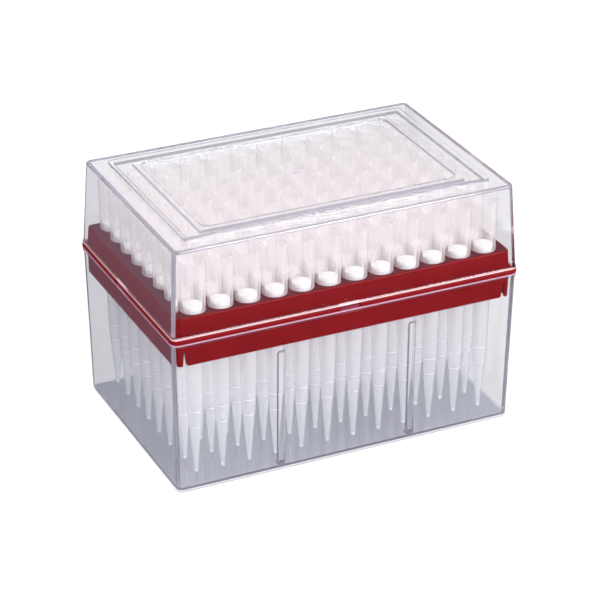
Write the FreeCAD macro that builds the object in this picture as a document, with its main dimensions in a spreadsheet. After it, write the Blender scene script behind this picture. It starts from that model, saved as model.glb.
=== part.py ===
"""Box of filter pipette tips: a clear base, a tray holding a grid of tips, and a clear lift-off lid.

Millimetres. The origin is at the middle of the foot, on the surface the box stands on. X runs
along the box, Y across it and +Z up. Everything is worked out from the tips: their grid sets the
length and width of the box, and their length sets its height.
"""
import FreeCAD, Part

import os
import re

import Sketcher

SIZES = [
    # the grid of tips
    ("pitch", 9.0),  # spacing of the standard grid, and of a pipette's channels
    ("columns", 12),
    ("rows", 8),
    ("tip_gap", 0.2),  # the least that two tips' mouths may stand apart
    ("end_margin", 2.3),  # an end column's mouths to the wall of the lid
    ("side_margin", 0.15),  # a side row's mouths to the wall of the lid
    # a tip, from its point up
    ("tip_length", 73.2),
    ("tip_wall", 0.5),
    ("point_diameter", 1.3),
    ("point_bore", 0.7),
    ("knee_height", 21.1),  # where the fine cone meets the body
    ("knee_diameter", 4.65),
    ("body_height", 40.0),
    ("body_diameter", 5.5),
    ("neck_diameter", 6.8),  # just under the collar
    ("ledge", 0.6),  # the collar's step, which rests on the tray
    ("collar_height", 16.7),
    ("collar_flare", 0.1),  # growth of the collar's radius up to its bead
    ("bead_height", 0.8),
    ("bead_proud", 0.1),
    ("mouth_wall", 0.45),
    ("mouth_chamfer", 0.2),
    ("first_ring", 4.9),  # a graduation ring, below the knee
    ("second_ring", 0.7),  # another, above the knee
    ("ring_width", 0.5),
    ("ring_proud", 0.08),
    # a filter plug
    ("filter_height", 5.0),
    ("filter_rise", 1.6),  # its top above the tip's ledge
    ("filter_top_wall", 0.35),  # the neck's radius less the plug's at its top
    ("filter_foot_wall", 0.7),  # and at its foot
    ("filter_stop", 0.1),  # step in the bore under the plug
    ("filter_play", 0.01),
    # the tray
    ("tray_wall", 1.1),
    ("tray_draft", 3.0),  # degrees
    ("core_draft", 1.5),  # degrees, inside the skirts
    ("tray_corner", 1.6),
    ("tray_edge", 0.5),
    ("deck_thickness", 1.6),
    ("deck_rise", 6.2),  # flange to deck
    ("flange_thickness", 1.5),
    ("flange_proud", 0.6),
    ("flange_corner", 3.0),
    ("flange_edge", 0.4),
    ("skirt_drop", 8.3),  # flange to the bottom of the lower skirt
    ("hole_play", 0.1),
    ("hole_chamfer", 0.3),
    ("tray_play", 0.35),  # between the tray and the walls round it
    ("slot_inset", 1.75),  # the corner leg's width, outside the slot
    ("slot_width", 1.4),
    ("slot_top_width", 0.5),
    ("slot_height", 4.7),
    ("slot_round", 0.6),  # the corners beside the slot's open end
    # the base
    ("base_wall", 1.4),
    ("base_floor", 1.4),
    ("base_draft", 1.05),  # degrees
    ("base_corner", 2.0),
    ("foot_edge", 0.5),
    ("lip_height", 1.0),
    ("lip_proud", 0.35),
    ("lip_edge", 0.3),
    ("point_gap", 1.9),  # the tips' points above the floor
    ("rib_pitches", 2.5),  # ribs stand this many pitches off the middle
    ("rib_width", 2.2),
    ("rib_depth", 1.3),
    ("rib_gap", 1.4),  # the ribs' tops below the tray's skirt
    ("gusset", 1.2),
    ("end_tab_width", 8.0),
    ("end_tab_shift", 3.2),  # the end tabs stand off the middle
    ("side_tab_width", 6.4),
    ("side_tab_drop", 0.7),  # the side tabs are this much lower than the flange's top
    ("end_tab_drop", 0.2),
    ("tab_play", 0.3),
    # the lid
    ("lid_wall", 1.4),
    ("lid_draft", 3.0),  # degrees
    ("lid_corner", 1.8),
    ("lid_edge", 0.8),
    ("rim_height", 0.9),
    ("rim_proud", 0.2),
    ("rim_edge", 0.15),
    ("headroom", 4.3),  # the tips' mouths to the underside of the top
    ("platform_inset", 5.6),  # the top's edge to the raised platform
    ("platform_rise", 1.1),
    ("platform_corner", 0.8),
    ("panel_inset_x", 8.2),  # the platform's edge to its sunken panel
    ("panel_inset_y", 5.3),
    ("panel_drop", 1.0),
    ("panel_corner", 3.0),
    ("gate_diameter", 2.4),
    ("gate_height", 0.35),
]

# lengths that follow from the sizes above, each a formula of their names
MOUTH_RADIUS = "(neck_diameter / 2 + ledge + collar_flare + bead_proud)"
# tips too wide for neighbouring places of the grid stand on every second one, or third
SPACING = f"(pitch * ceil((2 * {MOUTH_RADIUS} + tip_gap) / pitch))"
MOUTH_TO_RIM = f"({MOUTH_RADIUS} + lid_wall + (deck_rise + collar_height) * tan(lid_draft * 1deg))"
BOX_LENGTH = f"((columns - 1) * {SPACING} + 2 * {MOUTH_TO_RIM} + 2 * end_margin)"
BOX_WIDTH = f"((rows - 1) * {SPACING} + 2 * {MOUTH_TO_RIM} + 2 * side_margin)"
HANG = "(tip_length - collar_height)"
POINT_LEVEL = "(base_floor + point_gap)"
BASE_HEIGHT = f"({POINT_LEVEL} + {HANG} - deck_rise - flange_thickness)"
LID_LEVEL = f"({BASE_HEIGHT} + flange_thickness)"
LID_HEIGHT = "(deck_rise + collar_height + headroom + lid_wall)"
TOP_LOSS = f"2 * {LID_HEIGHT} * tan(lid_draft * 1deg)"
PLATFORM_LENGTH = f"({BOX_LENGTH} - {TOP_LOSS} - 2 * platform_inset)"
PLATFORM_WIDTH = f"({BOX_WIDTH} - {TOP_LOSS} - 2 * platform_inset)"
PANEL_LENGTH = f"({PLATFORM_LENGTH} - 2 * panel_inset_x)"
PANEL_WIDTH = f"({PLATFORM_WIDTH} - 2 * panel_inset_y)"
HOLE_RADIUS = "(neck_diameter / 2 + hole_play)"
FILTER_TOP_RADIUS = "(neck_diameter / 2 - filter_top_wall)"
FILTER_FOOT_RADIUS = "(neck_diameter / 2 - filter_foot_wall)"
TINY = 1e-6

doc = FreeCAD.newDocument("TipBox")
sheet = doc.addObject("Spreadsheet::Sheet", "Sizes")


def fill_sheet():
    """Write every size into the sheet and give its cell the size's name."""
    for row, (name, number) in enumerate(SIZES, 1):
        sheet.set(f"A{row}", name)
        sheet.set(f"B{row}", str(number))
        sheet.setAlias(f"B{row}", name)
    doc.recompute()


def cells(formula):
    """The formula with each size's name turned into a reference to its cell."""
    names = "|".join(name for name, _ in SIZES)
    return re.sub(rf"\b({names})\b", r"Sizes.\1", str(formula))


def number(formula):
    """What the formula comes to with the sheet as it stands."""
    return float(sheet.evalExpression(cells(formula)))


def bind(thing, **formulas):
    """Tie properties of a feature to formulas of the sheet's sizes."""
    for name, formula in formulas.items():
        thing.setExpression(name, cells(formula))


def new_body(label, x=0, y=0, z=0):
    """A body standing at the given formulas."""
    body = doc.addObject("PartDesign::Body", label)
    body.Label = label
    body.AllowCompound = True
    for axis, formula in zip("xyz", (x, y, z)):
        body.setExpression(f"Placement.Base.{axis}", cells(formula))
    return body


def origin_feature(body, role):
    """The body's own origin plane or axis of that role."""
    return next(f for f in body.Origin.OriginFeatures if f.Role == role)


def new_sketch(body, name, role="XY_Plane", lift=0, shift=0):
    """A sketch on one of the body's origin planes, lifted off it and shifted along its X."""
    sketch = body.newObject("Sketcher::SketchObject", name)
    sketch.AttachmentSupport = (origin_feature(body, role), [""])
    sketch.MapMode = "FlatFace"
    sketch.setExpression("AttachmentOffset.Base.z", cells(lift))
    sketch.setExpression("AttachmentOffset.Base.x", cells(shift))
    return sketch


def polygon(sketch, corners):
    """Join corners, given as numbers, into a closed loop and return the first line's index."""
    first = sketch.GeometryCount
    count = len(corners)
    for k, (x, y) in enumerate(corners):
        end = corners[(k + 1) % count]
        line = Part.LineSegment(FreeCAD.Vector(x, y, 0), FreeCAD.Vector(*end, 0))
        sketch.addGeometry(line)
    for k in range(count):
        follower = first + (k + 1) % count
        sketch.addConstraint(Sketcher.Constraint("Coincident", first + k, 2, follower, 1))
    return first


def pin(sketch, kind, geometry, formula):
    """Add a dimension and tie it to a formula."""
    index = sketch.addConstraint(Sketcher.Constraint(kind, *geometry, number(formula)))
    sketch.setExpression(f"Constraints[{index}]", cells(formula))


def outline(sketch, corners):
    """A closed loop whose corners are pairs of formulas, each dimensioned from the origin."""
    first = polygon(sketch, [(number(x), number(y)) for x, y in corners])
    for k, (x, y) in enumerate(corners):
        for kind, axis, formula in (("DistanceX", -2, x), ("DistanceY", -1, y)):
            if formula == 0:
                sketch.addConstraint(Sketcher.Constraint("PointOnObject", first + k, 1, axis))
            else:
                pin(sketch, kind, (-1, 1, first + k, 1), formula)


def rectangle(sketch, length, width):
    """A rectangle about the sketch's origin."""
    x = number(length) / 2
    y = number(width) / 2
    first = polygon(sketch, [(-x, -y), (x, -y), (x, y), (-x, y)])
    for side, direction in enumerate(("Horizontal", "Vertical", "Horizontal", "Vertical")):
        sketch.addConstraint(Sketcher.Constraint(direction, first + side))
    sketch.addConstraint(Sketcher.Constraint("Symmetric", first, 1, first + 2, 1, -1, 1))
    pin(sketch, "DistanceX", (first, 1, first, 2), length)
    pin(sketch, "DistanceY", (first + 1, 1, first + 1, 2), width)


def extrude(body, kind, name, sketch, length, draft=0, down=False, both=False):
    """Pad or pocket a sketch along its normal, or against it when down, narrowing by draft."""
    feature = body.newObject(f"PartDesign::{kind}", name)
    feature.Profile = sketch
    feature.Reversed = down
    feature.Midplane = both
    bind(feature, Length=length)
    if draft:
        bind(feature, TaperAngle=f"-({draft}) * 1deg")
    doc.recompute()
    return feature


def volume(body):
    """The body's volume, 0 while it has no feature."""
    return 0 if body.Shape.isNull() else body.Shape.Volume


def pad(body, name, sketch, length, **options):
    """Add material, checking that some was added."""
    before = volume(body)
    feature = extrude(body, "Pad", name, sketch, length, **options)
    assert volume(body) > before + TINY, f"{name} adds nothing"
    return feature


def pocket(body, name, sketch, length, up=False, **options):
    """Cut material away below the sketch, or above it when up, checking that some went."""
    before = volume(body)
    feature = extrude(body, "Pocket", name, sketch, length, down=up, **options)
    assert volume(body) < before - TINY, f"{name} cuts nothing"
    return feature


def plate(body, name, length, width, height, lift=0, **options):
    """Pad a rectangle."""
    sketch = new_sketch(body, f"{name}_outline", lift=lift)
    rectangle(sketch, length, width)
    return pad(body, name, sketch, height, **options)


def hollow(body, name, length, width, depth, lift=0, **options):
    """Pocket a rectangle."""
    sketch = new_sketch(body, f"{name}_outline", lift=lift)
    rectangle(sketch, length, width)
    return pocket(body, name, sketch, depth, **options)


def round_edges(body, name, radius, chosen):
    """Fillet the edges of the body that pass the test chosen."""
    base = body.Tip
    picked = [f"Edge{k}" for k, edge in enumerate(base.Shape.Edges, 1) if chosen(edge)]
    assert picked, f"{name} finds no edge"
    fillet = body.newObject("PartDesign::Fillet", name)
    fillet.Base = (base, picked)
    bind(fillet, Radius=radius)
    doc.recompute()
    return fillet


def height_of(edge):
    """How far an edge climbs."""
    return edge.BoundBox.ZLength


def at_level(edge, formula):
    """Whether an edge lies flat at a height."""
    level = number(formula)
    return height_of(edge) < TINY and abs(edge.BoundBox.ZMin - level) < TINY


def reach_of(edge):
    """How far an edge's middle lies from the vertical axis, along X and along Y."""
    middle = edge.CenterOfMass
    return abs(middle.x), abs(middle.y)


def steep(edge, low, high):
    """Whether an edge climbs all the way between two heights."""
    box = edge.BoundBox
    return box.ZMin < number(low) + TINY and box.ZMax > number(high) - TINY


def mirrored(body, name, role):
    """A mirroring across one of the body's origin planes, to be given its features."""
    copy = body.newObject("PartDesign::Mirrored", name)
    copy.MirrorPlane = (origin_feature(body, role), [""])
    return copy


def row(body, name, role, length, count):
    """A row along one of the body's origin axes, to be given its features."""
    copies = body.newObject("PartDesign::LinearPattern", name)
    copies.Direction = (origin_feature(body, role), [""])
    bind(copies, Length=length, Occurrences=count)
    return copies


def repeat(body, features, transformation):
    """Repeat features by one mirroring or row."""
    transformation.Originals = features
    body.Tip = transformation
    doc.recompute()


def repeat_twice(body, name, features, first, second):
    """Repeat features by one mirroring or row, and all of those by another."""
    both = body.newObject("PartDesign::MultiTransform", name)
    both.Originals = features
    both.Transformations = [first, second]
    body.Tip = both
    doc.recompute()


def four_ways(body, name, features):
    """Mirror features to both ends and both sides."""
    to_end = mirrored(body, f"{name}_to_end", "YZ_Plane")
    to_side = mirrored(body, f"{name}_to_side", "XZ_Plane")
    repeat_twice(body, name, features, to_end, to_side)


def turn(body, name, corners):
    """Revolve an outline, given as radius and height formulas, about the body's Z axis."""
    sketch = new_sketch(body, f"{name}_profile", "XZ_Plane")
    outline(sketch, corners)
    feature = body.newObject("PartDesign::Revolution", name)
    feature.Profile = sketch
    feature.ReferenceAxis = (sketch, ["V_Axis"])
    feature.Angle = 360
    doc.recompute()
    return feature


def make_base():
    """The box that stands on the bench, moulded in one piece with its ribs and tabs."""
    body = new_body("base")
    plate(body, "walls", BOX_LENGTH, BOX_WIDTH, BASE_HEIGHT, lift=BASE_HEIGHT, down=True,
          draft="base_draft")
    round_edges(body, "corners", "base_corner", lambda e: steep(e, 0, BASE_HEIGHT))
    round_edges(body, "foot", "foot_edge", lambda e: at_level(e, 0))
    lip_foot = f"({BASE_HEIGHT} - lip_height)"
    plate(body, "lip", f"{BOX_LENGTH} + 2 * lip_proud", f"{BOX_WIDTH} + 2 * lip_proud", "lip_height",
          lift=lip_foot)
    round_edges(body, "lip_corners", "base_corner + lip_proud", lambda e: steep(e, lip_foot, BASE_HEIGHT))
    round_edges(body, "lip_edges", "lip_edge", lambda e: at_level(e, BASE_HEIGHT))
    hollow(body, "inside", f"{BOX_LENGTH} - 2 * base_wall", f"{BOX_WIDTH} - 2 * base_wall",
           f"{BASE_HEIGHT} - base_floor", lift=BASE_HEIGHT, draft="base_draft")
    inside_corners = "base_corner - base_wall"
    round_edges(body, "inside_corners", inside_corners, lambda e: steep(e, "base_floor", BASE_HEIGHT))
    add_ribs(body)
    add_tabs(body)
    return body


def add_ribs(body):
    """Stiffen each long wall with two ribs that follow its lean and spread at the foot."""
    top = f"({BASE_HEIGHT} - skirt_drop - rib_gap)"

    def wall_face(level):
        return f"({BOX_WIDTH}) / 2 - base_wall - ({BASE_HEIGHT} - {level}) * tan(base_draft * 1deg)"

    def at(level, inwards):
        return f"-({wall_face(level)} - ({inwards}))", level

    rib_foot = "(base_floor + gusset)"
    bevel_foot = f"({top} - rib_depth)"
    sketch = new_sketch(body, "rib_outline", "YZ_Plane", lift=f"-rib_pitches * {SPACING}")
    outline(sketch, [
        at("base_floor / 2", "-base_wall / 2"),
        at("base_floor / 2", "rib_depth + gusset"),
        at("base_floor", "rib_depth + gusset"),
        at(rib_foot, "rib_depth"),
        at(bevel_foot, "rib_depth"),
        at(top, "0"),
        at(top, "-base_wall / 2"),
    ])
    four_ways(body, "ribs", [pad(body, "rib", sketch, "rib_width", both=True)])


def add_tabs(body):
    """Stand a tab on the middle of each side's rim, for the notches in the tray's flange."""
    inner_end = f"({BOX_LENGTH}) / 2 - base_wall"
    outer_end = f"({BOX_LENGTH}) / 2 + lip_proud"
    inner_side = f"({BOX_WIDTH}) / 2 - base_wall"
    outer_side = f"({BOX_WIDTH}) / 2 + lip_proud"
    end_tab = new_sketch(body, "end_tab_outline", lift=BASE_HEIGHT)
    outline(end_tab, [
        (inner_end, "end_tab_shift - end_tab_width / 2"),
        (outer_end, "end_tab_shift - end_tab_width / 2"),
        (outer_end, "end_tab_shift + end_tab_width / 2"),
        (inner_end, "end_tab_shift + end_tab_width / 2"),
    ])
    end_pad = pad(body, "end_tab", end_tab, "flange_thickness - end_tab_drop")
    repeat(body, [end_pad], mirrored(body, "end_tabs", "YZ_Plane"))
    side_tab = new_sketch(body, "side_tab_outline", lift=BASE_HEIGHT)
    outline(side_tab, [
        ("-side_tab_width / 2", inner_side),
        ("side_tab_width / 2", inner_side),
        ("side_tab_width / 2", outer_side),
        ("-side_tab_width / 2", outer_side),
    ])
    side_pad = pad(body, "side_tab", side_tab, "flange_thickness - side_tab_drop")
    repeat(body, [side_pad], mirrored(body, "side_tabs", "XZ_Plane"))


def make_tray():
    """The rack that holds the tips: a deck full of holes over a skirt, with a flange half way."""
    body = new_body("tray", z=BASE_HEIGHT)
    upper_rise = "(flange_thickness + deck_rise)"
    upper_length = f"({BOX_LENGTH} - 2 * lid_wall - 2 * tray_play)"
    upper_width = f"({BOX_WIDTH} - 2 * lid_wall - 2 * tray_play)"
    lower_length = f"({BOX_LENGTH} - 2 * base_wall - 2 * tray_play)"
    lower_width = f"({BOX_WIDTH} - 2 * base_wall - 2 * tray_play)"
    plate(body, "upper_skirt", upper_length, upper_width, upper_rise, draft="tray_draft")
    plate(body, "lower_skirt", lower_length, lower_width, "skirt_drop", down=True, draft="base_draft")
    round_edges(body, "skirt_corners", "tray_corner",
                lambda e: steep(e, 0, upper_rise) or steep(e, "-skirt_drop", 0))
    round_edges(body, "deck_edge", "tray_edge", lambda e: at_level(e, upper_rise))
    flange_length = f"({BOX_LENGTH} + 2 * flange_proud)"
    flange_width = f"({BOX_WIDTH} + 2 * flange_proud)"
    plate(body, "flange", flange_length, flange_width, "flange_thickness")
    round_edges(body, "flange_corners", "flange_corner", is_flange_corner)
    round_edges(body, "flange_edges", "flange_edge", is_flange_edge)
    skirt_loss = "2 * skirt_drop * tan(base_draft * 1deg)"
    hollow(body, "underside", f"{lower_length} - {skirt_loss} - 2 * tray_wall",
           f"{lower_width} - {skirt_loss} - 2 * tray_wall",
           f"skirt_drop + {upper_rise} - deck_thickness", lift="-skirt_drop", up=True,
           draft="core_draft")
    drill_deck(body, upper_rise)
    cut_slots(body, lower_length, lower_width)
    cut_notches(body)
    return body


def is_flange_corner(edge):
    """Whether an edge is one of the flange's upright corners."""
    along, _ = reach_of(edge)
    upright = height_of(edge) > number("flange_thickness") - TINY
    return upright and along > number(f"({BOX_LENGTH}) / 2")


def is_flange_edge(edge):
    """Whether an edge runs round the flange's rim, above or below."""
    along, across = reach_of(edge)
    outside = along > number(f"({BOX_LENGTH}) / 2 - flange_corner") or across > number(f"({BOX_WIDTH}) / 2")
    return outside and (at_level(edge, 0) or at_level(edge, "flange_thickness"))


def drill_deck(body, deck):
    """Cut the chamfered holes that the tips hang in."""
    below = f"({deck} - 2 * deck_thickness)"
    sketch = new_sketch(body, "hole_profile", "XZ_Plane", lift=f"(rows - 1) * {SPACING} / 2",
                        shift=f"-(columns - 1) * {SPACING} / 2")
    outline(sketch, [
        (0, below),
        (HOLE_RADIUS, below),
        (HOLE_RADIUS, f"{deck} - hole_chamfer"),
        (f"{HOLE_RADIUS} + hole_chamfer", deck),
        (f"{HOLE_RADIUS} + hole_chamfer", f"{deck} + deck_thickness"),
        (0, f"{deck} + deck_thickness"),
    ])
    before = volume(body)
    hole = body.newObject("PartDesign::Groove", "hole")
    hole.Profile = sketch
    hole.ReferenceAxis = (sketch, ["V_Axis"])
    hole.Angle = 360
    doc.recompute()
    assert volume(body) < before - TINY, "hole cuts nothing"
    along = row(body, "holes_along", "X_Axis", f"(columns - 1) * {SPACING}", "columns")
    across = row(body, "holes_across", "Y_Axis", f"(rows - 1) * {SPACING}", "rows")
    repeat_twice(body, "holes", [hole], along, across)


def cut_slots(body, lower_length, lower_width):
    """Part the lower skirt's long sides from a leg at each corner by a tapering slot."""
    middle = f"(-{lower_length} / 2 + slot_inset + slot_width / 2)"
    sketch = new_sketch(body, "slot_outline", "XZ_Plane", lift=f"{lower_width} / 2 + tray_play")
    outline(sketch, [
        (f"{middle} - slot_width / 2", "-skirt_drop"),
        (f"{middle} + slot_width / 2", "-skirt_drop"),
        (f"{middle} + slot_top_width / 2", "slot_height - skirt_drop"),
        (f"{middle} - slot_top_width / 2", "slot_height - skirt_drop"),
    ])
    slot = pocket(body, "slot", sketch, "2 * tray_play + 2 * tray_wall")
    four_ways(body, "slots", [slot])
    round_edges(body, "slot_mouths", "slot_round", lambda e: is_slot_mouth(e, lower_length))


def is_slot_mouth(edge, lower_length):
    """Whether an edge is the lower corner of a long side's skirt, next to a slot."""
    corner = number(f"{lower_length} / 2 - slot_inset - slot_width")
    along, _ = reach_of(edge)
    return at_level(edge, "-skirt_drop") and edge.BoundBox.XLength < TINY and abs(along - corner) < TINY


def cut_notches(body):
    """Open the flange round the base's tabs."""
    inner_end = f"({BOX_LENGTH}) / 2 - lid_wall - tab_play"
    outer_end = f"({BOX_LENGTH}) / 2 + 2 * flange_proud"
    inner_side = f"({BOX_WIDTH}) / 2 - lid_wall - tab_play"
    outer_side = f"({BOX_WIDTH}) / 2 + 2 * flange_proud"
    end_notch = new_sketch(body, "end_notch_outline")
    outline(end_notch, [
        (inner_end, "end_tab_shift - end_tab_width / 2 - tab_play"),
        (outer_end, "end_tab_shift - end_tab_width / 2 - tab_play"),
        (outer_end, "end_tab_shift + end_tab_width / 2 + tab_play"),
        (inner_end, "end_tab_shift + end_tab_width / 2 + tab_play"),
    ])
    end_cut = pocket(body, "end_notch", end_notch, "flange_thickness", up=True)
    repeat(body, [end_cut], mirrored(body, "end_notches", "YZ_Plane"))
    side_notch = new_sketch(body, "side_notch_outline")
    outline(side_notch, [
        ("-side_tab_width / 2 - tab_play", inner_side),
        ("side_tab_width / 2 + tab_play", inner_side),
        ("side_tab_width / 2 + tab_play", outer_side),
        ("-side_tab_width / 2 - tab_play", outer_side),
    ])
    side_cut = pocket(body, "side_notch", side_notch, "flange_thickness", up=True)
    repeat(body, [side_cut], mirrored(body, "side_notches", "XZ_Plane"))


def make_lid():
    """The cover, moulded in one piece, with a raised platform and a sunken panel on its top."""
    body = new_body("lid", z=LID_LEVEL)
    plate(body, "walls", BOX_LENGTH, BOX_WIDTH, LID_HEIGHT, draft="lid_draft")
    round_edges(body, "corners", "lid_corner", lambda e: steep(e, 0, LID_HEIGHT))
    round_edges(body, "top_edge", "lid_edge", lambda e: at_level(e, LID_HEIGHT))
    rim_length = f"({BOX_LENGTH} + 2 * rim_proud)"
    rim_width = f"({BOX_WIDTH} + 2 * rim_proud)"
    plate(body, "rim", rim_length, rim_width, "rim_height")
    round_edges(body, "rim_corners", "lid_corner + rim_proud",
                lambda e: is_outside_rim(e) and height_of(e) > TINY)
    round_edges(body, "rim_edges", "rim_edge", lambda e: is_outside_rim(e) and height_of(e) < TINY)
    platform_top = f"({LID_HEIGHT} + platform_rise)"
    panel = f"({platform_top} - panel_drop)"
    ceiling = f"({LID_HEIGHT} - lid_wall)"
    plate(body, "platform", PLATFORM_LENGTH, PLATFORM_WIDTH, "platform_rise", lift=LID_HEIGHT)
    round_edges(body, "platform_corners", "platform_corner",
                lambda e: height_of(e) > TINY and steep(e, LID_HEIGHT, platform_top))
    hollow(body, "panel", PANEL_LENGTH, PANEL_WIDTH, "panel_drop", lift=platform_top)
    round_edges(body, "panel_corners", "panel_corner",
                lambda e: height_of(e) > TINY and steep(e, panel, platform_top)
                and reach_of(e)[0] < number(PANEL_LENGTH) / 2 + TINY)
    hollow(body, "inside", f"{BOX_LENGTH} - 2 * lid_wall", f"{BOX_WIDTH} - 2 * lid_wall", ceiling,
           up=True, draft="lid_draft")
    core_out_platform(body, ceiling)
    add_gate_mark(body, panel)
    return body


def is_outside_rim(edge):
    """Whether an edge lies on the outside of the lid's rim, which stands proud of the wall."""
    box = edge.BoundBox
    along = max(box.XMax, -box.XMin) > number(f"({BOX_LENGTH} + rim_proud) / 2")
    return along or max(box.YMax, -box.YMin) > number(f"({BOX_WIDTH} + rim_proud) / 2")


def core_out_platform(body, ceiling):
    """Follow the platform on the inside with a channel, so that the top keeps its thickness."""
    sketch = new_sketch(body, "channel_outline", lift=ceiling)
    rectangle(sketch, f"{PLATFORM_LENGTH} - 2 * lid_wall", f"{PLATFORM_WIDTH} - 2 * lid_wall")
    rectangle(sketch, f"{PANEL_LENGTH} + 2 * lid_wall", f"{PANEL_WIDTH} + 2 * lid_wall")
    pocket(body, "channel", sketch, "platform_rise", up=True)


def add_gate_mark(body, panel):
    """The low nub that the moulding's gate leaves in the middle of the panel."""
    sketch = new_sketch(body, "gate_outline", lift=panel)
    circle = Part.Circle(FreeCAD.Vector(), FreeCAD.Vector(0, 0, 1), number("gate_diameter") / 2)
    sketch.addGeometry(circle)
    sketch.addConstraint(Sketcher.Constraint("Coincident", 0, 3, -1, 1))
    pin(sketch, "Diameter", (0,), "gate_diameter")
    pad(body, "gate_mark", sketch, "gate_height")


def lean(height, foot, head):
    """Radius at a height on the straight side between two (radius, height) corners."""
    low, start = foot
    high, end = head
    return f"({low}) + (({high}) - ({low})) * (({height}) - ({start})) / (({end}) - ({start}))"


def ring(height, foot, head):
    """A graduation ring standing on the side between two corners, as four corners."""
    top = f"{height} + ring_width"
    crown = "ring_width / 4"
    return [
        (lean(height, foot, head), height),
        (f"{lean(f'{height} + {crown}', foot, head)} + ring_proud", f"{height} + {crown}"),
        (f"{lean(f'{top} - {crown}', foot, head)} + ring_proud", f"{top} - {crown}"),
        (lean(top, foot, head), top),
    ]


def tip_outside():
    """The tip's outside from its point up to its mouth."""
    point = ("point_diameter / 2", 0)
    knee = ("knee_diameter / 2", "knee_height")
    waist = ("body_diameter / 2", "body_height")
    ledge_level = HANG
    collar = "neck_diameter / 2 + ledge"
    bead_foot = "tip_length - bead_height"
    return [
        point,
        *ring("(knee_height - first_ring)", point, knee),
        knee,
        *ring("(knee_height + second_ring)", knee, waist),
        waist,
        ("neck_diameter / 2", ledge_level),
        (collar, ledge_level),
        (f"{collar} + collar_flare", bead_foot),
        (f"{collar} + collar_flare + bead_proud", f"{bead_foot} + bead_proud"),
        (f"{collar} + collar_flare + bead_proud", "tip_length - mouth_chamfer"),
        (f"{collar} + collar_flare + bead_proud - mouth_chamfer", "tip_length"),
    ]


def tip_inside():
    """The tip's bore from its mouth down to its point."""
    mouth = "neck_diameter / 2 + ledge + collar_flare - mouth_wall"
    plug_top = f"{HANG} + filter_rise"
    plug_foot = f"({plug_top} - filter_height)"
    return [
        (f"{mouth} + mouth_chamfer", "tip_length"),
        (mouth, "tip_length - mouth_chamfer"),
        (FILTER_TOP_RADIUS, plug_top),
        (FILTER_FOOT_RADIUS, plug_foot),
        (f"{FILTER_FOOT_RADIUS} - filter_stop", plug_foot),
        ("body_diameter / 2 - tip_wall", "body_height"),
        ("knee_diameter / 2 - tip_wall", "knee_height"),
        ("point_bore / 2", 0),
    ]


def make_column(label, place, corners, name):
    """A body of alike turned pieces, one in each row of a column of the grid."""
    body = new_body(label, f"({place} - (columns - 1) / 2) * {SPACING}", f"-(rows - 1) * {SPACING} / 2",
                    POINT_LEVEL)
    piece = turn(body, name, corners)
    repeat(body, [piece], row(body, f"{name}_row", "Y_Axis", f"(rows - 1) * {SPACING}", "rows"))
    return body


def make_tips(place, label):
    """One column of tips."""
    return make_column(label, place, tip_outside() + tip_inside(), "tip")


def make_filters(place, label):
    """One column of filter plugs, seated in the taper of their tips' bores."""
    top = f"{HANG} + filter_rise"
    foot = f"{top} - filter_height"
    return make_column(label, place, [
        (0, foot),
        (f"{FILTER_FOOT_RADIUS} - filter_play", foot),
        (f"{FILTER_TOP_RADIUS} - filter_play", top),
        (0, top),
    ], "plug")


def check(bodies):
    """Stop if any object failed to build or any body is not valid solid matter."""
    for thing in doc.Objects:
        failed = {"Invalid", "Error"} & set(thing.State)
        assert not failed, f"{thing.Name} is {failed}"
    for body in bodies:
        assert not body.Shape.isNull() and body.Shape.isValid(), f"{body.Label} has no valid shape"
        assert body.Shape.Solids, f"{body.Label} holds no solid"


fill_sheet()
made = [make_base(), make_tray(), make_lid()]
for place in range(int(number("columns"))):
    made.append(make_tips(place, f"tips_column_{place + 1:02d}"))
    made.append(make_filters(place, f"filters_column_{place + 1:02d}"))
check(made)
os.makedirs("parts", exist_ok=True)
for body in made:
    body.Shape.exportStep(f"parts/{body.Label}.step")
    print(body.Label, len(body.Shape.Solids), "solids", round(body.Shape.Volume), "mm3")
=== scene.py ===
"""Looks of a box of filter pipette tips.

The lid and base are clear, the tray red, the tips translucent and their filters white. Metres, in
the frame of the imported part: the origin is at the middle of the foot, X runs along the box, Y
across it and +Z up. Every piece keeps the shape it was constructed with, and gets the finish of the
plastic that it is moulded from.
"""
import logging
import math
from dataclasses import dataclass

import bmesh
import bpy
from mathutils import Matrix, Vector


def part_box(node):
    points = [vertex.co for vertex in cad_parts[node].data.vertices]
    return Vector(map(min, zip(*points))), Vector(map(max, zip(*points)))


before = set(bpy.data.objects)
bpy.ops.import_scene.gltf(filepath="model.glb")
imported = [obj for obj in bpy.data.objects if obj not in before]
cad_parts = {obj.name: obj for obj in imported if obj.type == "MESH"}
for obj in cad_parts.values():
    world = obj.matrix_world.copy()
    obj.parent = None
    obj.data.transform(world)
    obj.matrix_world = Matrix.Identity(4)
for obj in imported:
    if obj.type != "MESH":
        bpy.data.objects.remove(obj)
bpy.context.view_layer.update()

MM = 0.001
WHITE = (1.0, 1.0, 1.0, 1.0)
log = logging.getLogger("tip_box")


def linear(hex_colour: str) -> tuple[float, float, float, float]:
    """Turn an sRGB hex colour into linear light.

    Args:
        hex_colour: six hex digits after a hash sign.

    Returns:
        Red, green, blue and an alpha of 1.
    """
    channels = [int(hex_colour[k:k + 2], 16) / 255 for k in (1, 3, 5)]
    light = [c / 12.92 if c <= 0.04045 else ((c + 0.055) / 1.055) ** 2.4 for c in channels]
    return (*light, 1.0)


def per_metre(size_mm: float) -> float:
    """Texture scale at which one feature is size_mm wide."""
    return 1 / (size_mm * MM)


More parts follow.
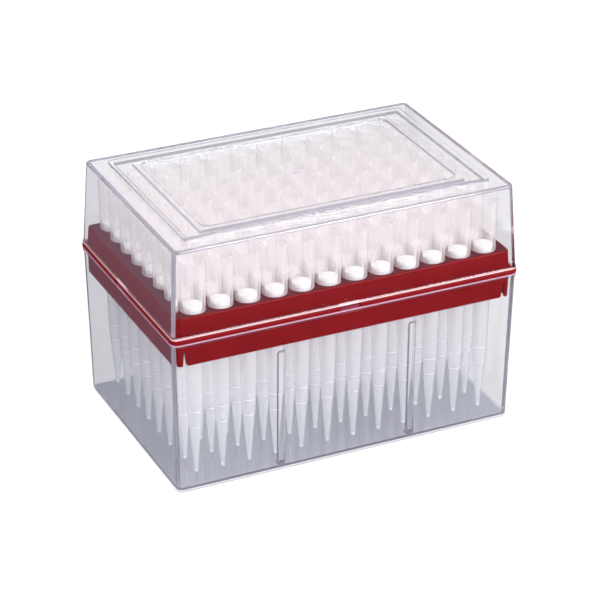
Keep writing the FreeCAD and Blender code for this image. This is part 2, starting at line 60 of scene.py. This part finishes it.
def add_node(
    tree: bpy.types.NodeTree,
    kind: str,
    values: dict[str | int, object] | None = None,
    links: dict[str | int, bpy.types.NodeSocket] | None = None,
    **settings: object,
) -> bpy.types.Node:
    """Add a node to a tree.

    Args:
        tree: the tree that gets the node.
        kind: the node's type name.
        values: plain values for its inputs, by input name or index.
        links: output sockets that feed its inputs, by input name or index.
        settings: the node's own properties.

    Returns:
        The new node.
    """
    node = tree.nodes.new(kind)
    for name, value in settings.items():
        setattr(node, name, value)
    for name, value in (values or {}).items():
        node.inputs[name].default_value = value
    for name, socket in (links or {}).items():
        tree.links.new(socket, node.inputs[name])
    return node


def new_material(name: str) -> tuple[bpy.types.Material, bpy.types.NodeTree, bpy.types.Node]:
    """Make an empty node material.

    Args:
        name: the material's name.

    Returns:
        The material, its node tree and its output node.
    """
    material = bpy.data.materials.new(name)
    material.use_nodes = True
    tree = material.node_tree
    tree.nodes.clear()
    return material, tree, tree.nodes.new("ShaderNodeOutputMaterial")


def lamps_pass(tree: bpy.types.NodeTree) -> bpy.types.NodeSocket:
    """Tell rays that carry light on to what is behind from rays that look.

    Args:
        tree: the tree that gets the switch.

    Returns:
        A socket that is 1 for rays of light and 0 for rays that look.
    """
    path = add_node(tree, "ShaderNodeLightPath")
    return add_node(
        tree,
        "ShaderNodeMath",
        links={0: path.outputs["Is Shadow Ray"], 1: path.outputs["Is Diffuse Ray"]},
        operation="MAXIMUM",
    ).outputs[0]


def mirror_paths(tree: bpy.types.NodeTree) -> bpy.types.NodeSocket:
    """Tell paths that a mirror has turned from the rest.

    Args:
        tree: the tree that gets the switch.

    Returns:
        A socket that is 1 for paths that a mirror has turned and 0 for the rest.
    """
    path = add_node(tree, "ShaderNodeLightPath")
    return add_node(
        tree,
        "ShaderNodeMath",
        values={1: 0.0},
        links={0: path.outputs["Glossy Depth"]},
        operation="GREATER_THAN",
    ).outputs[0]


def height_in(tree: bpy.types.NodeTree) -> bpy.types.NodeSocket:
    """The height above the foot, in metres, at each point of a piece."""
    place = add_node(tree, "ShaderNodeTexCoord")
    return add_node(tree, "ShaderNodeSeparateXYZ", links={0: place.outputs["Object"]}).outputs["Z"]


@dataclass(frozen=True)
class Band:
    """A level band round a piece, between two heights in metres."""

    low: float
    high: float

    def above(self, level: float) -> "Band":
        """The same band, counted from a level."""
        return Band(level + self.low, level + self.high)

    def compared(self) -> dict[int, float]:
        """The middle and half height, as the inputs of a node that compares a height with them."""
        return {1: (self.low + self.high) / 2, 2: (self.high - self.low) / 2}


@dataclass(frozen=True)
class PaintedLightLine:
    """A level line of flat colour painted round a clear moulding, standing for light that the clear
    wall would show there. Lines of it are painted highlights, a painted shade line and the painted
    red of the tray seen through a clear tab.

    Its strength is 0 for a wall that stays clear there and 1 for one that is all painted colour.
    """

    band: Band
    tint: str
    strength: float

    def above(self, level: float) -> "PaintedLightLine":
        """The same line, counted from a level."""
        return PaintedLightLine(self.band.above(level), self.tint, self.strength)


@dataclass(frozen=True)
class ClearPolystyrene:
    """General-purpose polystyrene, injection moulded in a polished tool.

    It is water clear with a faint violet cast where the wall is seen edge on, bends light more
    than glass does, and its polished faces carry a slow waviness from the flow of the melt. Its
    lines are level bands of flat colour painted on: painted highlights at the lips and the foot, a
    painted shade line at the very foot and the painted red of the tray seen through the tabs. Lamps
    shine straight through it. Above clear_above, its edges have no cast.
    """

    name: str
    lines: tuple[PaintedLightLine, ...]
    clear_above: float
    tint: str = "#FDFDFF"
    passed: str = "#FBFBFC"
    haze_tint: str = "#D2CCDC"
    face_haze: float = 0.002
    edge_haze: float = 0.2
    ior: float = 1.55
    roughness: float = 0.015
    trapping: float = 0.6
    wave_mm: float = 14.0
    wave_detail: float = 1.0
    wave_break_up: float = 0.4
    wave_depth_mm: float = 0.02
    wave_strength: float = 0.6

    def build(self) -> bpy.types.Material:
        """Make the material.

        Returns:
            The material of a clear half of the box.
        """
        material, tree, output = new_material(self.name)
        place = add_node(tree, "ShaderNodeTexCoord").outputs["Object"]
        wave = add_node(
            tree,
            "ShaderNodeTexNoise",
            values={
                "Scale": per_metre(self.wave_mm),
                "Detail": self.wave_detail,
                "Roughness": self.wave_break_up,
            },
            links={"Vector": place},
        )
        bump = add_node(
            tree,
            "ShaderNodeBump",
            values={"Strength": self.wave_strength, "Distance": self.wave_depth_mm * MM},
            links={"Height": wave.outputs["Fac"]},
        )
        body = add_node(
            tree,
            "ShaderNodeBsdfPrincipled",
            values={
                "Base Color": linear(self.tint),
                "Roughness": self.roughness,
                "IOR": self.ior,
                "Transmission Weight": 1.0,
            },
            links={"Normal": bump.outputs["Normal"]},
        )
        trapped = add_node(tree, "ShaderNodeFresnel", values={"IOR": self.ior})
        scatter = add_node(
            tree,
            "ShaderNodeMapRange",
            values={
                "From Min": self.trapping,
                "To Min": self.face_haze,
                "To Max": self.edge_haze,
            },
            links={"Value": trapped.outputs[0]},
        )
        height = height_in(tree)
        below = add_node(
            tree,
            "ShaderNodeMath",
            values={1: self.clear_above},
            links={0: height},
            operation="LESS_THAN",
        )
        edges = add_node(
            tree,
            "ShaderNodeMath",
            links={0: scatter.outputs[0], 1: below.outputs[0]},
            operation="MULTIPLY",
        )
        haze = add_node(tree, "ShaderNodeBsdfDiffuse", values={"Color": linear(self.haze_tint)})
        wall = add_node(
            tree,
            "ShaderNodeMixShader",
            links={0: edges.outputs[0], 1: body.outputs[0], 2: haze.outputs[0]},
        )
        # each line mixes a flat painted colour over the clear wall: painted highlight, shade or red
        # seen through
        for line in self.lines:
            level = add_node(
                tree,
                "ShaderNodeMath",
                values=line.band.compared(),
                links={0: height},
                operation="COMPARE",
            )
            strength = add_node(
                tree,
                "ShaderNodeMath",
                values={1: line.strength},
                links={0: level.outputs[0]},
                operation="MULTIPLY",
            )
            painted_light = add_node(tree, "ShaderNodeBsdfDiffuse", values={"Color": linear(line.tint)})
            wall = add_node(
                tree,
                "ShaderNodeMixShader",
                links={0: strength.outputs[0], 1: wall.outputs[0], 2: painted_light.outputs[0]},
            )
        clear = add_node(tree, "ShaderNodeBsdfTransparent", values={"Color": linear(self.passed)})
        mix = add_node(
            tree,
            "ShaderNodeMixShader",
            links={0: lamps_pass(tree), 1: wall.outputs[0], 2: clear.outputs[0]},
        )
        tree.links.new(mix.outputs[0], output.inputs["Surface"])
        return material


@dataclass(frozen=True)
class RedPolypropylene:
    """Pigmented polypropylene with the satin face of a lightly spark-eroded tool.

    Deep signal red, a soft broad sheen, a fine even grain and faint cloudiness in the pigment. The
    flat deck is painted duller and greyer, a painted shade of the tips over it and a painted grey
    reflection of them.
    The grain is drawn coarser than the real one, so that it shows.
    """

    deck: float
    name: str = "red_polypropylene"
    colour: str = "#7E0910"
    deep: str = "#6C070D"
    painted_deck_shade: str = "#5C1E28"
    painted_deck_depth_mm: float = 0.02
    ior: float = 1.49
    shine: float = 0.1
    roughness: float = 0.34
    roughness_spread: float = 0.05
    cloud_mm: float = 7.0
    cloud_detail: float = 3.0
    grain_mm: float = 0.25
    grain_detail: float = 2.0
    grain_depth_mm: float = 0.012
    grain_strength: float = 0.5

    def build(self) -> bpy.types.Material:
        """Make the material.

        Returns:
            The tray's material.
        """
        material, tree, output = new_material(self.name)
        place = add_node(tree, "ShaderNodeTexCoord").outputs["Object"]
        cloud = add_node(
            tree,
            "ShaderNodeTexNoise",
            values={"Scale": per_metre(self.cloud_mm), "Detail": self.cloud_detail},
            links={"Vector": place},
        )
        grain = add_node(
            tree,
            "ShaderNodeTexNoise",
            values={"Scale": per_metre(self.grain_mm), "Detail": self.grain_detail},
            links={"Vector": place},
        )
        colour = add_node(
            tree,
            "ShaderNodeMix",
            values={6: linear(self.deep), 7: linear(self.colour)},
            links={0: cloud.outputs["Fac"]},
            data_type="RGBA",
        )
        # painted shade and painted grey reflection of the tips, on the flat deck alone
        depth = self.painted_deck_depth_mm * MM
        on_deck = add_node(
            tree,
            "ShaderNodeMath",
            values=Band(-depth, depth).above(self.deck).compared(),
            links={0: height_in(tree)},
            operation="COMPARE",
        )
        deck_painted = add_node(
            tree,
            "ShaderNodeMix",
            values={7: linear(self.painted_deck_shade)},
            links={0: on_deck.outputs[0], 6: colour.outputs[2]},
            data_type="RGBA",
        )
        roughness = add_node(
            tree,
            "ShaderNodeMapRange",
            values={
                "To Min": self.roughness - self.roughness_spread,
                "To Max": self.roughness + self.roughness_spread,
            },
            links={"Value": cloud.outputs["Fac"]},
        )
        bump = add_node(
            tree,
            "ShaderNodeBump",
            values={"Strength": self.grain_strength, "Distance": self.grain_depth_mm * MM},
            links={"Height": grain.outputs["Fac"]},
        )
        body = add_node(
            tree,
            "ShaderNodeBsdfPrincipled",
            values={"IOR": self.ior, "Specular IOR Level": self.shine},
            links={
                "Base Color": deck_painted.outputs[2],
                "Roughness": roughness.outputs["Result"],
                "Normal": bump.outputs["Normal"],
            },
        )
        tree.links.new(body.outputs[0], output.inputs["Surface"])
        return material


@dataclass(frozen=True)
class NaturalPolypropylene:
    """Unpigmented polypropylene in a half-millimetre wall.

    Hazy rather than clear: what is behind shows through, whitened by light scattered in the wall,
    and the wall looks denser where it is seen edge on. It is clearer in the thin collar and towards
    the fine point, where it turns faintly blue, and whiter at the point's own end and in the
    graduation rings. Higher up its colour turns a warm pink, a painted tint that stands for the red
    tray's light on the upper tips. Its outer face is glossy. Lamps shine straight through it.
    """

    clear_below: float
    dense_above: float
    seat: float
    red_bounce_above: float
    marks: tuple[Band, ...]
    name: str = "natural_polypropylene"
    # warm pink at the top: a painted tint for the red tray's light on the upper tips
    colour: str = "#F8F0F1"
    fine_colour: str = "#EEF3F7"
    passed: str = "#FFFFFF"
    ior: float = 1.49
    roughness: float = 0.22
    roughness_spread: float = 0.06
    edge_blend: float = 0.25
    haze: float = 0.35
    edge_haze: float = 0.80
    collar_haze: float = 0.15
    polish: float = 0.09
    gloss: float = 0.9
    fine_haze: float = 0.26
    fine_edge_haze: float = 0.72
    mark_haze: float = 0.52
    glow: float = 0.34
    cloud_mm: float = 2.5
    cloud_detail: float = 2.0

    def build(self) -> bpy.types.Material:
        """Make the material.

        Returns:
            The tips' material.
        """
        material, tree, output = new_material(self.name)
        place = add_node(tree, "ShaderNodeTexCoord").outputs["Object"]
        cloud = add_node(
            tree,
            "ShaderNodeTexNoise",
            values={"Scale": per_metre(self.cloud_mm), "Detail": self.cloud_detail},
            links={"Vector": place},
        )
        roughness = add_node(
            tree,
            "ShaderNodeMapRange",
            values={
                "To Min": self.roughness - self.roughness_spread,
                "To Max": self.roughness + self.roughness_spread,
            },
            links={"Value": cloud.outputs["Fac"]},
        )
        height = height_in(tree)
        thick = add_node(
            tree,
            "ShaderNodeMapRange",
            values={"From Min": self.clear_below, "From Max": self.dense_above},
            links={"Value": height},
        ).outputs["Result"]
        red_bounce = add_node(
            tree,
            "ShaderNodeMapRange",
            values={"From Min": self.clear_below, "From Max": self.red_bounce_above},
            links={"Value": height},
        )
        colour = add_node(
            tree,
            "ShaderNodeMix",
            values={6: linear(self.fine_colour), 7: linear(self.colour)},
            links={0: red_bounce.outputs["Result"]},
            data_type="RGBA",
        )
        face = add_node(
            tree,
            "ShaderNodeBsdfPrincipled",
            values={"IOR": self.ior},
            links={"Base Color": colour.outputs[2], "Roughness": roughness.outputs["Result"]},
        )
        scattered = add_node(tree, "ShaderNodeBsdfTranslucent", links={"Color": colour.outputs[2]})
        milky = add_node(
            tree,
            "ShaderNodeMixShader",
            values={0: self.glow},
            links={1: face.outputs[0], 2: scattered.outputs[0]},
        )
        edge = add_node(tree, "ShaderNodeLayerWeight", values={"Blend": self.edge_blend})
        facing, turned = (
            add_node(
                tree,
                "ShaderNodeMapRange",
                values={"To Min": fine, "To Max": full},
                links={"Value": thick},
            ).outputs["Result"]
            for fine, full in ((self.fine_haze, self.haze), (self.fine_edge_haze, self.edge_haze))
        )
        collar = add_node(
            tree,
            "ShaderNodeMapRange",
            values={
                "From Min": self.seat,
                "From Max": self.seat + MM,
                "To Max": self.haze - self.collar_haze,
            },
            links={"Value": height},
        )
        facing = add_node(
            tree,
            "ShaderNodeMath",
            links={0: facing, 1: collar.outputs["Result"]},
            operation="SUBTRACT",
        ).outputs[0]
        wall = add_node(
            tree,
            "ShaderNodeMapRange",
            links={"Value": edge.outputs["Facing"], "To Min": facing, "To Max": turned},
        )
        density = wall.outputs["Result"]
        for mark in self.marks:
            level = add_node(
                tree,
                "ShaderNodeMath",
                values=mark.compared(),
                links={0: height},
                operation="COMPARE",
            )
            white = add_node(
                tree,
                "ShaderNodeMath",
                values={1: self.mark_haze},
                links={0: level.outputs[0]},
                operation="MULTIPLY",
            )
            density = add_node(
                tree,
                "ShaderNodeMath",
                links={0: density, 1: white.outputs[0]},
                operation="MAXIMUM",
            ).outputs[0]
        clear = add_node(tree, "ShaderNodeBsdfTransparent", values={"Color": WHITE})
        hazy = add_node(
            tree,
            "ShaderNodeMixShader",
            links={0: density, 1: clear.outputs[0], 2: milky.outputs[0]},
        )
        mirror = add_node(tree, "ShaderNodeFresnel", values={"IOR": self.ior})
        inside = add_node(tree, "ShaderNodeNewGeometry").outputs["Backfacing"]
        outside = add_node(
            tree,
            "ShaderNodeMapRange",
            values={"To Min": self.gloss, "To Max": 0.0},
            links={"Value": inside},
        )
        shine = add_node(
            tree,
            "ShaderNodeMath",
            links={0: mirror.outputs[0], 1: outside.outputs["Result"]},
            operation="MULTIPLY",
        )
        gloss = add_node(
            tree,
            "ShaderNodeBsdfAnisotropic",
            values={"Color": WHITE, "Roughness": self.polish},
        )
        seen = add_node(
            tree,
            "ShaderNodeMixShader",
            links={0: shine.outputs[0], 1: hazy.outputs[0], 2: gloss.outputs[0]},
        )
        passed = add_node(tree, "ShaderNodeBsdfTransparent", values={"Color": linear(self.passed)})
        mix = add_node(
            tree,
            "ShaderNodeMixShader",
            links={0: lamps_pass(tree), 1: seen.outputs[0], 2: passed.outputs[0]},
        )
        tree.links.new(mix.outputs[0], output.inputs["Surface"])
        return material


@dataclass(frozen=True)
class PorousPolyethylene:
    """Sintered polyethylene powder.

    Bright white and matt, with pores finer than a grain of salt that break up its shading.
    """

    name: str = "porous_polyethylene"
    colour: str = "#FCFCFB"
    pore_colour: str = "#ECEBE9"
    roughness: float = 0.9
    pore_mm: float = 0.18
    pore_depth_mm: float = 0.05
    pore_strength: float = 0.6

    def build(self) -> bpy.types.Material:
        """Make the material.

        Returns:
            The filters' material.
        """
        material, tree, output = new_material(self.name)
        place = add_node(tree, "ShaderNodeTexCoord").outputs["Object"]
        pores = add_node(
            tree,
            "ShaderNodeTexVoronoi",
            values={"Scale": per_metre(self.pore_mm)},
            links={"Vector": place},
        )
        colour = add_node(
            tree,
            "ShaderNodeMix",
            values={6: linear(self.colour), 7: linear(self.pore_colour)},
            links={0: pores.outputs["Distance"]},
            data_type="RGBA",
        )
        bump = add_node(
            tree,
            "ShaderNodeBump",
            values={"Strength": self.pore_strength, "Distance": self.pore_depth_mm * MM},
            links={"Height": pores.outputs["Distance"]},
            invert=True,
        )
        body = add_node(
            tree,
            "ShaderNodeBsdfPrincipled",
            values={"Roughness": self.roughness},
            links={"Base Color": colour.outputs[2], "Normal": bump.outputs["Normal"]},
        )
        tree.links.new(body.outputs[0], output.inputs["Surface"])
        return material


@dataclass(frozen=True)
class SeamlessPaper:
    """The white paper that the box stands on.

    Away from the box it glows white to the eye and through the clear walls. Near the box its glow
    fades, so that the shadow stays. Seen through the clear walls, the paper under the box is
    painted grey, a painted shadow over its own shading. In the walls' mirror images the paper is
    painted dark in front of the box, a painted dark reflection that keeps a veil off the red, and a
    painted middle grey beside and behind it.
    """

    name: str = "seamless_paper"
    colour: str = "#FBFBFC"
    # painted dark reflection: the paper's colour in the walls' mirror images in front of the box
    painted_dark_reflection: str = "#101014"
    # painted middle grey reflection: the paper's colour in mirror images beside and behind the box
    mirrored: str = "#626270"
    # painted shadow: the paper's colour under the box, seen through the clear walls
    shaded: str = "#B6B9C0"
    roughness: float = 0.8
    glow: float = 0.6
    shade_mm: float = -1.0
    open_mm: float = 2.5
    dark_reflection_mm: float = 25.0
    near_mm: float = 100.0
    far_mm: float = 500.0

    def build(self) -> bpy.types.Material:
        """Make the material, whose glow is for looking rays alone and lights nothing.

        Returns:
            The paper's material.
        """
        material, tree, output = new_material(self.name)
        path = add_node(tree, "ShaderNodeLightPath")
        mirrors = mirror_paths(tree)
        low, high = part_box("base")
        half_foot = [(high[axis] - low[axis]) / 2 for axis in range(2)]
        place = add_node(tree, "ShaderNodeTexCoord").outputs["Object"]
        folded = add_node(tree, "ShaderNodeVectorMath", links={0: place}, operation="ABSOLUTE")
        outside = add_node(
            tree,
            "ShaderNodeVectorMath",
            values={1: (*half_foot, 0.0)},
            links={0: folded.outputs[0]},
            operation="SUBTRACT",
        )
        sides = add_node(tree, "ShaderNodeSeparateXYZ", links={0: outside.outputs[0]})
        distance = add_node(
            tree,
            "ShaderNodeMath",
            links={0: sides.outputs["X"], 1: sides.outputs["Y"]},
            operation="MAXIMUM",
        )
        beyond = add_node(
            tree,
            "ShaderNodeMapRange",
            values={"From Min": self.shade_mm * MM, "From Max": self.open_mm * MM},
            links={"Value": distance.outputs[0]},
            interpolation_type="SMOOTHSTEP",
        )
        through = add_node(
            tree,
            "ShaderNodeMath",
            links={0: path.outputs["Is Transmission Ray"], 1: mirrors},
            operation="SUBTRACT",
            use_clamp=True,
        )
        open_air = add_node(
            tree,
            "ShaderNodeMath",
            links={0: through.outputs[0], 1: beyond.outputs[0]},
            operation="MULTIPLY",
        )
        under = add_node(
            tree,
            "ShaderNodeMath",
            links={0: through.outputs[0], 1: open_air.outputs[0]},
            operation="SUBTRACT",
        )
        # painted shadow under the box for rays seen through the walls
        shade = add_node(
            tree,
            "ShaderNodeMix",
            values={6: linear(self.colour), 7: linear(self.shaded)},
            links={0: under.outputs[0]},
            data_type="RGBA",
        )
        # the painted dark reflection fades in over this width in front of the foot
        across = add_node(tree, "ShaderNodeSeparateXYZ", links={0: place}).outputs["Y"]
        dark_reflection = add_node(
            tree,
            "ShaderNodeMapRange",
            values={"From Min": low[1] - self.dark_reflection_mm * MM, "From Max": low[1]},
            links={"Value": across},
            interpolation_type="SMOOTHSTEP",
        )
        image = add_node(
            tree,
            "ShaderNodeMix",
            values={6: linear(self.painted_dark_reflection), 7: linear(self.mirrored)},
            links={0: dark_reflection.outputs[0]},
            data_type="RGBA",
        )
        colour = add_node(
            tree,
            "ShaderNodeMix",
            links={0: mirrors, 6: shade.outputs[2], 7: image.outputs[2]},
            data_type="RGBA",
        )
        backdrop = add_node(
            tree,
            "ShaderNodeMapRange",
            values={
                "From Min": self.near_mm * MM,
                "From Max": self.far_mm * MM,
                "To Min": self.glow,
            },
            links={"Value": distance.outputs[0]},
        )
        share = add_node(
            tree,
            "ShaderNodeMath",
            links={0: path.outputs["Is Camera Ray"], 1: backdrop.outputs["Result"]},
            operation="MULTIPLY",
        )
        shine = add_node(
            tree,
            "ShaderNodeMath",
            links={0: open_air.outputs[0], 1: share.outputs[0]},
            operation="MAXIMUM",
        )
        paper = add_node(
            tree,
            "ShaderNodeBsdfDiffuse",
            values={"Roughness": self.roughness},
            links={"Color": colour.outputs[2]},
        )
        light = add_node(tree, "ShaderNodeEmission", values={"Color": WHITE, "Strength": 1.0})
        mix = add_node(
            tree,
            "ShaderNodeMixShader",
            links={0: shine.outputs[0], 1: paper.outputs[0], 2: light.outputs[0]},
        )
        tree.links.new(mix.outputs[0], output.inputs["Surface"])
        return material


def dress(node_name: str, material: bpy.types.Material) -> None:
    """Give a constructed piece its finish.

    Args:
        node_name: the piece's node.
        material: its finish.
    """
    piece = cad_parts[node_name]
    piece.data.materials.clear()
    piece.data.materials.append(material)
    log.info("%s dressed in %s", node_name, material.name)


@dataclass
class Container:
    """The lid and the base, moulded from the same clear plastic."""

    # painted red of the tray, seen through the clear tabs, drawn as a flat colour band
    tab_painted_red: PaintedLightLine = PaintedLightLine(Band(0.0, 1.3 * MM), "#7E2238", 0.88)
    # painted lavender highlight along the lip of the base's rim
    base_rim_highlight: PaintedLightLine = PaintedLightLine(Band(-0.5 * MM, 0.0), "#B89AB2", 0.85)
    # painted white highlight along the base's foot
    base_foot_highlight: PaintedLightLine = PaintedLightLine(Band(0.35 * MM, 1.0 * MM), "#F2F2F8", 0.5)
    # starts just above the underside, which would otherwise darken all over
    foot_shade: PaintedLightLine = PaintedLightLine(Band(0.35 * MM / 6, 0.35 * MM), "#6A6A76", 0.6)
    # painted pink-white highlight along the lid's rim
    lid_rim_highlight: PaintedLightLine = PaintedLightLine(Band(0.0, 0.42 * MM), "#EED0D6", 0.9)

    def build(self) -> None:
        """Dress both halves."""
        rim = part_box("base")[1][2] - self.tab_painted_red.band.high
        lines = (self.tab_painted_red.above(rim), self.base_rim_highlight.above(rim), self.base_foot_highlight, self.foot_shade)
        dress("base", ClearPolystyrene("clear_polystyrene_base", lines, rim).build())
        foot, top = (corner[2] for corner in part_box("lid"))
        lines = (self.lid_rim_highlight.above(foot),)
        dress("lid", ClearPolystyrene("clear_polystyrene_lid", lines, top + MM).build())


@dataclass
class Tray:
    """The red rack."""

    node: str = "tray"

    def build(self) -> None:
        """Dress the rack."""
        dress(self.node, RedPolypropylene(deck=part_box(self.node)[1][2]).build())


@dataclass
class Tips:
    """The columns of tips and the filters in them."""

    columns: int = 12
    marks: tuple[Band, ...] = (
        Band(0.0, 1.0 * MM),
        Band(16.2 * MM, 16.7 * MM),
        Band(21.8 * MM, 22.3 * MM),
    )
    clear_height: float = 2.0 * MM
    dense_height: float = 30.0 * MM
    # height at which the painted warm tint for the red tray's light is full
    red_bounce_height: float = 60.0 * MM
    filter_finish: PorousPolyethylene = PorousPolyethylene()

    def build(self) -> None:
        """Dress every column."""
        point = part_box("tips_column_01")[0][2]
        wall = NaturalPolypropylene(
            clear_below=point + self.clear_height,
            dense_above=point + self.dense_height,
            seat=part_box("tray")[1][2],
            red_bounce_above=point + self.red_bounce_height,
            marks=tuple(mark.above(point) for mark in self.marks),
        ).build()
        plug = self.filter_finish.build()
        for column in range(1, self.columns + 1):
            dress(f"tips_column_{column:02d}", wall)
            dress(f"filters_column_{column:02d}", plug)


@dataclass(frozen=True)
class Softbox:
    """A square lamp that faces the box."""

    name: str
    place: tuple[float, float, float]
    side: float
    watts: float

    def build(self, target: Vector) -> None:
        """Hang the lamp.

        Args:
            target: the point it faces.
        """
        data = bpy.data.lights.new(self.name, "AREA")
        data.shape = "SQUARE"
        data.size = self.side
        data.energy = self.watts
        lamp = bpy.data.objects.new(self.name, data)
        lamp.location = self.place
        lamp.rotation_euler = (target - lamp.location).to_track_quat("-Z", "Y").to_euler()
        bpy.context.scene.collection.objects.link(lamp)


@dataclass
class Studio:
    """Pale paper, soft lamps and the camera."""

    azimuth_deg: float = -25.0
    elevation_deg: float = 27.1
    distance: float = 0.8105
    aim: tuple[float, float, float] = (0.0001, -0.0019, 0.0381)
    lens_mm: float = 151.6
    sensor_mm: float = 36.0
    floor_side: float = 8.0
    floor_gap: float = 0.05 * MM
    sky: float = 0.55
    mirrored_sky: float = 0.6
    clear_bounces: int = 32
    glossy_bounces: int = 8
    diffuse_bounces: int = 4
    transparent_bounces: int = 96
    lamps: tuple[Softbox, ...] = (
        Softbox("overhead_softbox", (0.15, 0.25, 1.3), 1.2, 7.5),
        Softbox("front_softbox", (0.65, -1.3, 0.6), 0.9, 26.0),
        Softbox("left_softbox", (-1.4, -0.2, 0.7), 0.9, 9.0),
    )

    def build(self) -> None:
        """Set the stage."""
        self.lay_paper()
        self.light_sky()
        for lamp in self.lamps:
            lamp.build(Vector(self.aim))
        self.place_camera()
        scene = bpy.context.scene
        scene.view_settings.view_transform = "Standard"
        scene.cycles.max_bounces = self.clear_bounces
        scene.cycles.transmission_bounces = self.clear_bounces
        scene.cycles.glossy_bounces = self.glossy_bounces
        scene.cycles.diffuse_bounces = self.diffuse_bounces
        scene.cycles.transparent_max_bounces = self.transparent_bounces

    def lay_paper(self) -> None:
        """Lay the floor just under the foot."""
        mesh = bpy.data.meshes.new("floor")
        shape = bmesh.new()
        bmesh.ops.create_grid(shape, x_segments=1, y_segments=1, size=self.floor_side / 2)
        shape.to_mesh(mesh)
        shape.free()
        mesh.materials.append(SeamlessPaper().build())
        floor = bpy.data.objects.new("floor", mesh)
        floor.location.z = -self.floor_gap
        bpy.context.scene.collection.objects.link(floor)

    def light_sky(self) -> None:
        """Surround the stage with white that gives a plain level of light."""
        world = bpy.data.worlds.new("studio")
        world.use_nodes = True
        tree = world.node_tree
        tree.nodes.clear()
        output = tree.nodes.new("ShaderNodeOutputWorld")
        seen = add_node(
            tree,
            "ShaderNodeMapRange",
            values={"To Min": 1.0, "To Max": self.mirrored_sky},
            links={"Value": mirror_paths(tree)},
        )
        strength = add_node(
            tree,
            "ShaderNodeMix",
            values={3: self.sky},
            links={0: lamps_pass(tree), 2: seen.outputs["Result"]},
        )
        light = add_node(
            tree,
            "ShaderNodeBackground",
            values={"Color": WHITE},
            links={"Strength": strength.outputs["Result"]},
        )
        tree.links.new(light.outputs[0], output.inputs["Surface"])
        bpy.context.scene.world = world

    def place_camera(self) -> None:
        """Stand the camera off the box's front left."""
        azimuth = math.radians(self.azimuth_deg)
        elevation = math.radians(self.elevation_deg)
        back = Vector((
            math.sin(azimuth) * math.cos(elevation),
            -math.cos(azimuth) * math.cos(elevation),
            math.sin(elevation),
        ))
        data = bpy.data.cameras.new("camera")
        data.lens = self.lens_mm
        data.sensor_width = self.sensor_mm
        camera = bpy.data.objects.new("camera", data)
        camera.location = Vector(self.aim) + self.distance * back
        camera.rotation_euler = back.to_track_quat("Z", "Y").to_euler()
        bpy.context.scene.collection.objects.link(camera)
        bpy.context.scene.camera = camera


def main() -> None:
    """Dress the box and set the stage."""
    logging.basicConfig(level=logging.INFO, format="%(name)s: %(message)s")
    for part in (Container(), Tray(), Tips(), Studio()):
        part.build()


if __name__ == "__main__":
    main()
